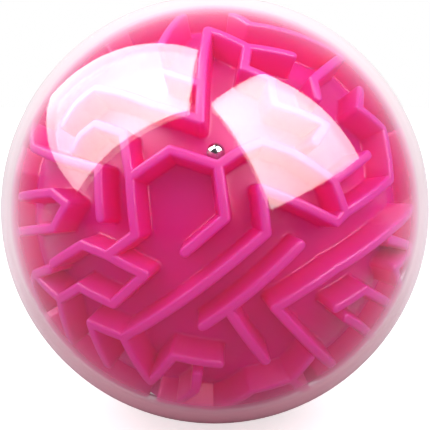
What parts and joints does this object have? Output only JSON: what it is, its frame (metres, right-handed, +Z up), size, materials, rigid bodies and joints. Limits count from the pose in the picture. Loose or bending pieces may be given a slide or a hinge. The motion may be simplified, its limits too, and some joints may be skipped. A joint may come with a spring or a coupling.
{
  "type": "ball maze puzzle",
  "caption": "Hand-held ball maze: a hollow pink core covered in raised maze walls, shut inside a clear round shell with one small steel ball that rolls between the walls.",
  "frame": {"origin": "centre of the spherical shell", "axes": "+Z up, -Y towards the front of the maze (the pole of the front halves), +X to the right of it; the halves meet on the plane Y = 0"},
  "size_m": [0.1, 0.1, 0.1],
  "materials": {
    "clear_shell": "clear moulded polystyrene, glossy",
    "pink_core": "translucent magenta pink moulded plastic, satin gloss",
    "ball_steel": "polished bearing steel"
  },
  "bodies": {
    "maze_body": {"shell_front": "clear_shell", "shell_rear": "clear_shell", "maze_core_front": "pink_core", "maze_core_rear": "pink_core"},
    "rolling_ball": {"steel_ball": "ball_steel"}
  },
  "joints": [
    {"name": "ball_roll", "type": "hinge", "parent": "maze_body", "child": "rolling_ball", "pos_m": [0, 0, 0], "axis": [-0.9974, 0.0239, 0.0684], "range_deg": [0, 29]}
  ]
}
